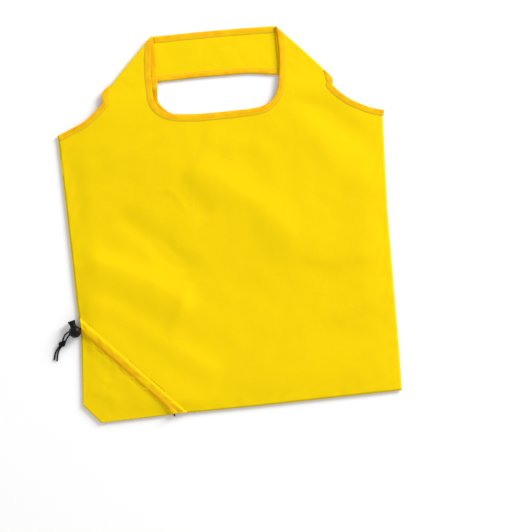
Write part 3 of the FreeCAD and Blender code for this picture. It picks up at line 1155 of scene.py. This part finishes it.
frontEndRoute = [
    (-188.5, -133.1, 6.4), (-193, -128.5, 6.4), (-200.6, -120.5, 7.3), (-215.8, -125.1, 8.2),
    (-218.5, -126.4, 7.6), (-221.2, -128.4, 6.6), (-223, -130.7, 5.4), (-224.1, -133.5, 4.6),
    (-227.2, -140.8, 4.2), (-229.9, -143.1, 3), (-234.6, -148.2, 1.7), (-237.2, -154.4, 1.1),
    (-238.2, -160.3, 1.05),
]
backEndRoute = [
    (-188.5, -133.1, 1.8), (-193, -128.5, 1.8), (-200.6, -121.8, 6.4), (-214.9, -127.8, 7.2),
    (-216.7, -130, 6.6), (-218.7, -132.3, 5.7), (-220.4, -134.9, 4.9), (-222, -137.6, 4.3),
    (-228.6, -144.3, 3.4), (-231.4, -147.8, 2), (-233.5, -154.4, 1.15), (-234.6, -161.7, 1.05),
]
channelRoute = [
    (-188.7, -132.9, 6.4), (-160, -162.6, 6.4), (-130, -193.6, 6.4), (-108, -216.6, 6.4),
    (-95.5, -230.6, 6.4), (-90.8, -238.6, 6.1), (-89.2, -245.2, 4), (-90.8, -238.6, 1.9),
    (-95.5, -230.6, 1.8), (-108, -216.6, 1.8), (-130, -193.6, 1.8), (-160, -162.6, 1.8),
    (-188.7, -132.9, 1.8),
]


# Stow pouch: the corner panels below the drawcord channel

pouch = dict(
    columns=64,
    rows=56,
    top=((-200.4, -128.2), (-90, -241.6)),  # its upper edge, hidden under the channel
    aboveSeam=0.4,
    pillow=(1.3, -5.0, 30.0),
    fullness=(1.15, 62.0, 12.0),  # how much higher it lies beside the channel
    small=(0.5, 17, 7.7),
    fine=(0.25, 7, 3.3),
    relief=0.42,
    least=0.25,  # above the seams
)


def pouchHeight(x, y):
    near = edgeDistance(x, y)
    level = bag["seamHeight"] + pouch["aboveSeam"] + climb(pouch["pillow"], near)
    level += climb(pouch["fullness"], ridgeDistance(x, y)) * smooth(near, 0.0, 16.0)
    shape = foldRise(pouchFolds, x, y) + uneven(pouch["small"], x, y) + uneven(pouch["fine"], x, y)
    for (px, py), reach, rise in pouchPillows:
        shape += rise * exp(-((x - px) ** 2 + (y - py) ** 2) / reach ** 2)
    shape *= pouch["relief"] * smooth(near, -1.0, 12.0)
    return max(level + shape, bag["seamHeight"] + pouch["least"])


def makePouchPanel(name, height):
    corner = bag["leftEdge"]
    foot = pouch["top"]
    fill = patch(
        Route([corner[1], corner[0]]),
        Route([corner[0], foot[1]]),
        Route([foot[0], foot[1]]),
        Route([corner[1], corner[2], foot[0]]),
    )

    def place(across, along):
        spot = fill(across, along)
        return (spot.x, spot.y, height(spot.x, spot.y))

    mesh = closeUp(gridSheet(pouch["columns"], pouch["rows"], place))
    return makeCloth("pouch_" + name, mesh, clothMaterial, ["pouch_" + name + "_panel"], "bag")


# The hem that the drawcord runs in: a round ridge, then gathered cloth sloping down to its stitching.
# Its sections are (down from the ridge, height).

channel = dict(
    upper=[
        (-0.9, 0.2), (0, 0.45), (0.4, 1), (0.9, 1.45), (1.6, 1.65), (2.8, 1.65), (4, 1.6), (5.2, 1.55),
        (6.4, 1.5), (7.6, 1.4), (8.8, 1.25), (10, 1), (11.2, 0.8), (12.4, 0.6), (13.6, 0.42),
        (14.8, 0.3), (15.8, 0.05), (16.8, -0.4),
    ],
    lower=[
        (15.8, -0.5), (14, -0.5), (12, 0), (9.5, 0), (7, 0), (4.5, 0), (2.2, 0), (0.6, 0.05),
        (-0.7, 0.05),
    ],
    width=15.3,
    rows=168,
    frontFloor=4.9,
    backFloor=0.35,
    backRelief=0.15,
    overCord=1.45,  # from the drawcord's middle up to the cloth over it
    drape=0.09,  # how quickly the cloth falls away beside the drawcord
    gathers=(0.35, 23.0),  # waves are (rise, length)
    pleats=(0.15, 8.4),
    crest=(0.10, 6.8),
    crestUneven=(0.15, 12, 1.0),  # uneven patches are (rise, size, seed)
    mouthPuff=0.5,  # extra height at both mouths
    slant=0.055,  # slope of the ridge's top
    slantSwing=(0.07, 23.0),
    slantUneven=(0.10, 7, 9.0),
    ridgeRough=(0.12, 4.5, 2.0),
    slopeRough=(0.25, 6.5, 2.0),
)


# How high cloth must lie to pass over the drawcord's routes
def cordCover(x, y, routes):
    need = -1e9
    for route in routes:
        for a, b in zip(route, route[1:]):
            t, gap = nearest(a, b, x, y)
            need = max(need, a[2] + t * (b[2] - a[2]) + channel["overCord"] - channel["drape"] * gap * gap)
    return need


# The front channel's face at s along and n down from the ridge; the level of its edges is given
def channelFace(s, n, z, length, edge, inward, coverHere, coverBeside):
    ends = 1 - smooth(s, 0, 16) + smooth(s, length - 14, length)
    drift = wave(s, 0, 19, 2.0)
    gathers = ripples(channel["gathers"], s - 8, 1.4 * drift) * smooth(n, 4.0, 12.0)
    gathers += ripples(channel["pleats"], s, 5.0 * wave(s, 3, 15, 4.0)) * (0.3 + smooth(n, 6.0, 12.0))
    crest = 1 + ripples(channel["crest"], s, 3 * wave(s, 5, 21, 6.0)) + uneven(channel["crestUneven"], s, 8)
    puff = ends * channel["mouthPuff"] * exp(-(((n - 8.5) / 4.5) ** 2))
    shape = edge + z * crest + gathers * inward * (1 - 0.7 * ends) + puff
    if n < 8:
        slant = channel["slant"] + ripples(channel["slantSwing"], s - 8, 2.2 * drift)
        slant += uneven(channel["slantUneven"], s, n)
        crown = coverBeside + max(slant, -0.02) * (7.6 - n)
        shape = max(shape, edge + (crown - edge) * smooth(n, -0.6, 1.9))
        shape += uneven(channel["ridgeRough"], s, n * 1.4) * inward
    elif n < 15:
        shape = max(shape, coverHere) + uneven(channel["slopeRough"], s, n) * inward
    return shape


def makeChannel(name, above, below):
    high, low = Route(bag["ridge"]), Route(bag["channelFoot"])
    front = name == "front"
    floor = channel["frontFloor"] if front else channel["backFloor"]
    upper = channel["upper"]
    loop = upper + channel["lower"] + upper[:1]
    last = len(loop) - 1
    routes = [channelRoute[:7], frontEndRoute[:3]] if front else [channelRoute[6:]]

    def place(across, along):
        i = round(across * last)
        n, z = loop[i]
        share = 0.010 + 0.986 * along
        a = high.at(share)
        b = low.at(share)
        spot = a + (b - a).normalized() * n * (b - a).length / channel["width"]
        part = smooth(n, 3.0, 12.0)
        edge = above(a.x, a.y) * (1 - part) + below(spot.x, spot.y) * part
        inward = smooth(n, -0.5, 2.0) * smooth(n, 15.8, 12.5)
        if len(upper) <= i < last:
            return (spot.x, spot.y, edge + (floor - edge) * inward + z)
        cover = cordCover(spot.x, spot.y, routes)
        if not front:
            shape = edge + z * channel["backRelief"]
            return (spot.x, spot.y, max(shape, cover - 0.1) if 0.3 < n < 15.2 else shape)
        beside = a + (b - a) * 0.5
        crown = cordCover(beside.x, beside.y, routes)
        shape = channelFace(share * high.length, n, z, high.length, edge, inward, cover, crown)
        return (spot.x, spot.y, shape)

    def own(across, along):
        return (along * high.length * mm, loop[round(across * last)][0] * mm)

    mesh = closeUp(gridSheet(last, channel["rows"], place, own))
    makeCloth(name + "_channel", mesh, hemMaterial, [name + "_cord_channel"], "bag")


pouchFront = makePouchPanel("front", pouchHeight)
pouchBack = makePouchPanel("back", backHeight)
makeChannel("front", frontHeight, pouchHeight)
makeChannel("back", backHeight, backHeight)
say("stow pouch and channels")


# Seams: the sewn edges where front and back meet

seam = dict(
    face=[(7, 0.10), (4, 0.14), (1.6, 0.34), (0.5, 0.50), (-0.1, 0.38), (-0.32, 0)],  # inward, height
    ringLength=3,
    uneven=(0.18, 11.0, 3.0),
)


def makeSeam(name, points, side, replaced):
    route = Route(points)
    loop = mirrored(seam["face"]) + seam["face"][:1]
    last = len(loop) - 1

    def place(across, along):
        n, z = loop[round(across * last)]
        spot = route.at(along) + route.left(along) * side * n
        return (spot.x, spot.y, bag["seamHeight"] + z + uneven(seam["uneven"], spot.x, spot.y))

    mesh = gridSheet(last, max(4, round(route.length / seam["ringLength"])), place)
    piece = finishMesh(name, closeUp(mesh, capped=True), clothMaterial, "bag", "panel_fabric")
    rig.replaces(piece, replaced)


leftLine, rightLine, bottomLine = bag["leftEdge"], bag["rightEdge"], bag["bottomEdge"]
makeSeam("left_seam_edge", [(-201.7, -110.0)] + leftLine[3:5] + [(-209.7, 119.0)], -1, "left_side_seam")
makeSeam("right_seam_edge", rightLine[:3] + [(207.7, 118.5)], 1, "right_side_seam")
makeSeam("bottom_seam_edge", [(-73.4, -241.0), bottomLine[2], bottomLine[3]], 1, "bottom_seam")
makeSeam(
    "pouch_seam_edge", [(-93.5, -241.7), leftLine[0], leftLine[1], (-200.7, -133.0)], -1, "pouch_seam"
)
say("seams")


# Drawcord: its braided ends, its run inside, and the knot

# Close points of the smooth line that a cord follows, in metres
def splineLine(name, points):
    data = bpy.data.curves.new(name, "CURVE")
    data.dimensions = "3D"
    data.resolution_u = 40
    spline = data.splines.new("NURBS")
    spline.points.add(len(points) - 1)
    for point, place in zip(spline.points, points):
        point.co = (*(Vector(place) * mm), 1)
    spline.order_u = 3
    spline.use_endpoint_u = True
    holder = addToScene(name, data)
    line = bpy.data.meshes.new_from_object(holder)
    spots = [v.co.copy() for v in line.vertices]
    bpy.data.objects.remove(holder)
    bpy.data.curves.remove(data)
    bpy.data.meshes.remove(line)
    return spots


# How far a braid's skin stands out where its strands cross, from 0 to 1
def crossing(angle, pull):
    strands = drawcord["strands"] / 2
    return max(abs(cos(strands * (angle + pull))), abs(cos(strands * (angle - pull))))


def roundSpot(centre, first, second, angle, radius):
    return centre + (first * cos(angle) + second * sin(angle)) * radius


# A round braided cord, each ring turned as little as can be from the one before
def makeBraid(name, points, node, ringLength=0.22, around=32):
    spots = splineLine(name + "_line", points)
    route = Route([s / mm for s in spots])
    radius = drawcord["diameter"] / 2
    relief = drawcord["relief"]
    rings = round(route.length / ringLength)
    frames = []
    side = Vector((0, 0, 1))
    for i in range(rings + 1):
        way = route.way(i / rings, 0.3)
        side = (side - way * side.dot(way)).normalized()
        frames.append((route.at(i / rings), side.copy(), way.cross(side)))

    def place(across, along):
        centre, first, second = frames[round(along * rings)]
        angle = 2 * pi * across
        pull = 2 * pi * along * route.length / drawcord["lay"]
        skin = radius * (1.02 - relief + relief * crossing(angle, pull))
        left = (1 - along) * route.length
        if left < drawcord["cutEnd"]:
            skin *= 0.72 + 0.56 * left
        return roundSpot(centre, first, second, angle, skin)

    mesh = closeUp(gridSheet(around, rings, place), 0.00001, capped=True)
    piece = finishMesh(name, mesh, braidMaterial, "bag", "cord")
    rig.replaces(piece, node)
    return piece, spots, round(route.length * mm, 4)


knotShape = dict(
    middle=(-225.9, -139.9, 4.2),
    size=(1.26, 0.86, 1.0),
    thick=1.6,
    turn=radians(18),
    twists=9,
    around=28,
    rings=260,
)


# An overhand knot pulled small, as one thick braided turn
def makeKnot():
    turn = Matrix.Rotation(knotShape["turn"], 3, "Z")

    def centreAt(t):
        x = sin(t) + 2 * sin(2 * t)
        y = cos(t) - 2 * cos(2 * t)
        spot = Vector([a * b for a, b in zip((x, y, -sin(3 * t)), knotShape["size"])])
        return Vector(knotShape["middle"]) + turn @ spot

    def place(across, along):
        t, angle = 2 * pi * along, 2 * pi * across
        way = (centreAt(t + 0.01) - centreAt(t - 0.01)).normalized()
        first = (Vector((0, 0, 1)) - way * way.z).normalized()
        second = way.cross(first)
        skin = knotShape["thick"] * (0.9 + 0.1 * crossing(angle, knotShape["twists"] * t))
        return roundSpot(centreAt(t), first, second, angle, skin)

    mesh = closeUp(gridSheet(knotShape["around"], knotShape["rings"], place), 0.00001)
    piece = finishMesh("knot", mesh, braidMaterial, "bag", "cord")
    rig.replaces(piece, "cord_knot")
    return piece


frontEnd, frontSpots, frontLength = makeBraid("drawcord_end_a", frontEndRoute, "drawcord_front_end")
backEnd, backSpots, backLength = makeBraid("drawcord_end_b", backEndRoute, "drawcord_back_end")
makeBraid("drawcord_inside", channelRoute, "drawcord_in_channels", 0.5, 16)
knot = makeKnot()
say("drawcord and knot")


# The hard pieces keep their moulded shapes

lockShape = dict(
    middle=(-208.4, -125.8, 7.9),  # of the ball
    along=(-0.242, 0.970, 0),  # the way the plunger stands out
    springReach=(-7.0, -3.2),  # the spring's ends, along that way
)


def dress(node, material, slot):
    part = frame["nodes"][node]
    part.data.materials.clear()
    part.data.materials.append(material)
    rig.slot(part, slot)


dress("cord_lock_ball", lockMaterial, "lock_plastic")
dress("cord_lock_plunger", lockMaterial, "lock_plastic")


# The coil between the ball and the plunger; it shortens as the plunger goes in
def makeSpring():
    wire = addToScene("lock_spring", frame["nodes"]["cord_lock_spring"].data.copy())
    mesh = bmesh.new()
    mesh.from_mesh(wire.data)
    closeUp(mesh, 0.00001).to_mesh(wire.data)
    mesh.free()
    wire.data.materials.clear()
    wire.data.materials.append(springMaterial)
    wire.data.shade_smooth()
    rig.slot(wire, "spring_steel")
    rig.replaces(wire, "cord_lock_spring")
    middle, along = Vector(lockShape["middle"]), Vector(lockShape["along"])
    start, end = ((middle + along * reach) * mm for reach in lockShape["springReach"])
    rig.blend(wire, "cord_lock", "plunger", start=tuple(start), end=tuple(end))
    return wire


spring = makeSpring()
say("cord lock")


# The cord's free ends, and what each cloth was cut from

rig.cord(
    frontEnd, exit=frontSpots[0], length=frontLength, diameter=drawcord["diameter"] * mm, far_end="bare",
    stiffness="limp", lay="loose", path=frontSpots,
    with_pieces=[knot, "cord_lock_ball", "cord_lock_plunger", spring],
)
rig.cord(
    backEnd, exit=backSpots[0], length=backLength, diameter=drawcord["diameter"] * mm, far_end="bare",
    stiffness="limp", lay="loose", path=backSpots,
)
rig.sheet(frontCloth, flat=(0.42, 0.57), held="folded", rests_on=["back_cloth"], area=0.178)
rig.sheet(backCloth, flat=(0.42, 0.57), held="folded", area=0.178)
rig.sheet(pouchFront, flat=(0.115, 0.115), held="laid", rests_on=["pouch_back_cloth"], area=0.0085)
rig.sheet(pouchBack, flat=(0.115, 0.115), held="laid", area=0.0085)


# Floor and light

studio = dict(
    floor=(0.925, 0.925, 0.925, 1),
    floorGrain=(0.94, 0.94, 0.94, 1),
    sky=0.66,
    keyPower=300.0,
    keySize=2.2,
    keyAt=(3.45, 2.9, 2.1),  # low, so that thin cloth still casts a soft shadow
)

def makeFloor():
    mesh = bmesh.new()
    bmesh.ops.create_grid(mesh, x_segments=1, y_segments=1, size=3.0)
    material, tree, shader = newMaterial("floor_paper")
    grain = addNoise(tree, coordinates(tree), 900.0)
    colour = mixColours(tree, grain, studio["floor"], studio["floorGrain"])
    tree.links.new(colour, shader.inputs["Base Color"])
    shader.inputs["Roughness"].default_value = 0.9
    shader.inputs["Specular IOR Level"].default_value = 0.1
    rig.stage(finishMesh("floor", mesh, material))


def makeLight():
    world = bpy.data.worlds.new("studio")
    world.use_nodes = True
    sky = world.node_tree.nodes["Background"]
    sky.inputs["Color"].default_value = (1, 1, 1, 1)
    sky.inputs["Strength"].default_value = studio["sky"]
    bpy.context.scene.world = world
    data = bpy.data.lights.new("key", "AREA")
    data.shape = "SQUARE"
    data.size = studio["keySize"]
    data.energy = studio["keyPower"]
    light = addToScene("key", data)
    light.location = studio["keyAt"]
    light.rotation_euler = (-light.location).to_track_quat("-Z", "Y").to_euler()
    bpy.context.scene.view_settings.view_transform = "Standard"


makeFloor()
makeLight()
say("studio")

with open("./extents.json", "w") as sizes:
    json.dump([[list(corner) for corner in box] for box in (cadBox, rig.bounds())], sizes)
